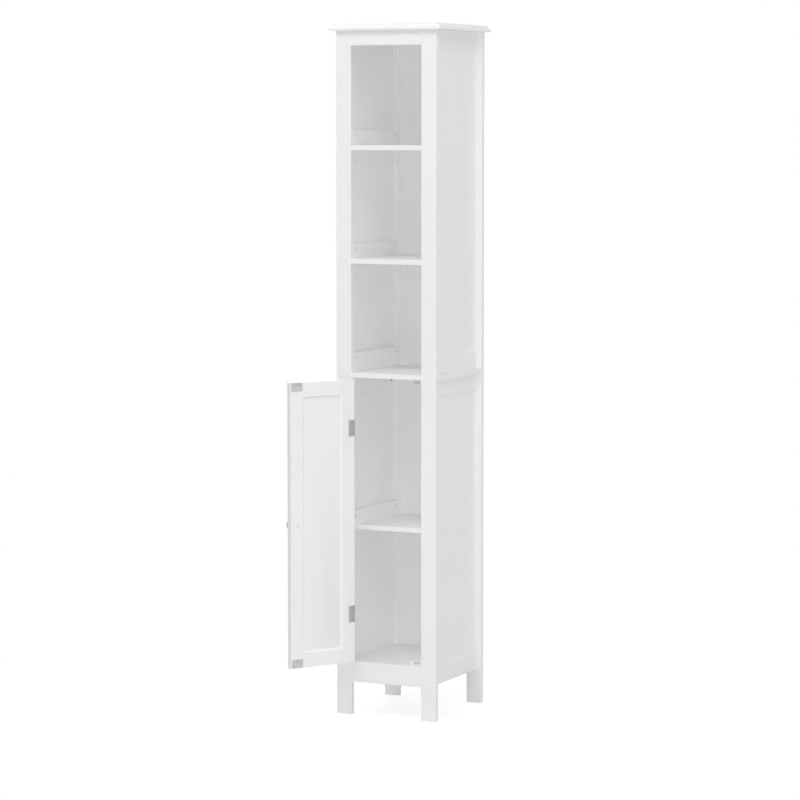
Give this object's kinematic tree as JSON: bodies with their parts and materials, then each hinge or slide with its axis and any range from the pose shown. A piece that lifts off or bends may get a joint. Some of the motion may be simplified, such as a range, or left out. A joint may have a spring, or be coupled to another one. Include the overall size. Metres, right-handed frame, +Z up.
{
  "type": "tall bathroom cabinet",
  "caption": "Tall narrow white bathroom cabinet on legs: a framed cupboard with a hinged door below and open shelves above, under a moulded top board.",
  "frame": {"origin": "on the floor, at the centre of the rectangle around the four legs", "axes": "+Z up, -Y to the front (the door side), +X to the viewer's right"},
  "size_m": [0.3475, 0.4646, 1.7],
  "materials": {
    "white_paint": "satin",
    "beech": "matte",
    "zinc_steel": "satin",
    "white_plastic": "matte",
    "magnet": "matte",
    "chrome": "polished"
  },
  "bodies": {
    "cabinet": {"lower_post_front_left": "white_paint", "lower_post_front_right": "white_paint", "lower_post_rear_left": "white_paint", "lower_post_rear_right": "white_paint", "lower_side_rail_bottom_left": "white_paint", "lower_side_rail_top_left": "white_paint", "lower_side_panel_left": "white_paint", "lower_cleats_left": "white_paint", "lower_side_rail_bottom_right": "white_paint", "lower_side_rail_top_right": "white_paint", "lower_side_panel_right": "white_paint", "lower_cleats_right": "white_paint", "lower_front_rail": "white_paint", "lower_back_panel": "white_paint", "upper_post_front_left": "white_paint", "upper_post_front_right": "white_paint", "upper_post_rear_left": "white_paint", "upper_post_rear_right": "white_paint", "upper_side_rail_bottom_left": "white_paint", "upper_side_rail_top_left": "white_paint", "upper_side_panel_left": "white_paint", "upper_cleats_left": "white_paint", "upper_side_rail_bottom_right": "white_paint", "upper_side_rail_top_right": "white_paint", "upper_side_panel_right": "white_paint", "upper_cleats_right": "white_paint", "upper_front_rail": "white_paint", "upper_back_panel": "white_paint", "bottom_board": "white_paint", "divider_board": "white_paint", "shelf_top": "white_paint", "shelf_middle": "white_paint", "shelf_lower": "white_paint", "top_board": "white_paint", "post_dowels": "beech", "board_dowels": "beech", "cam_nuts": "zinc_steel", "cam_bolts": "zinc_steel", "cleat_screws": "zinc_steel", "catch_screws": "zinc_steel", "upper_hinge_frame_leaf": "zinc_steel", "lower_hinge_frame_leaf": "zinc_steel", "hinge_pins": "zinc_steel", "hinge_screws_frame": "zinc_steel", "top_catch_housing": "white_plastic", "bottom_catch_housing": "white_plastic", "catch_magnets": "magnet"},
    "door": {"door_stile_hinge": "white_paint", "door_stile_free": "white_paint", "door_rail_top": "white_paint", "door_rail_bottom": "white_paint", "door_panel": "white_paint", "door_knob": "chrome", "door_knob_screw": "zinc_steel", "strike_plate_top": "zinc_steel", "strike_plate_bottom": "zinc_steel", "strike_screws": "zinc_steel", "upper_hinge_door_leaf": "zinc_steel", "lower_hinge_door_leaf": "zinc_steel", "hinge_screws_door": "zinc_steel"}
  },
  "joints": [
    {"name": "door_hinge", "type": "hinge", "parent": "cabinet", "child": "door", "pos_m": [-0.0938, -0.1461, 0.485], "axis": [0, 0, 1], "range_deg": [-55, 120]}
  ]
}
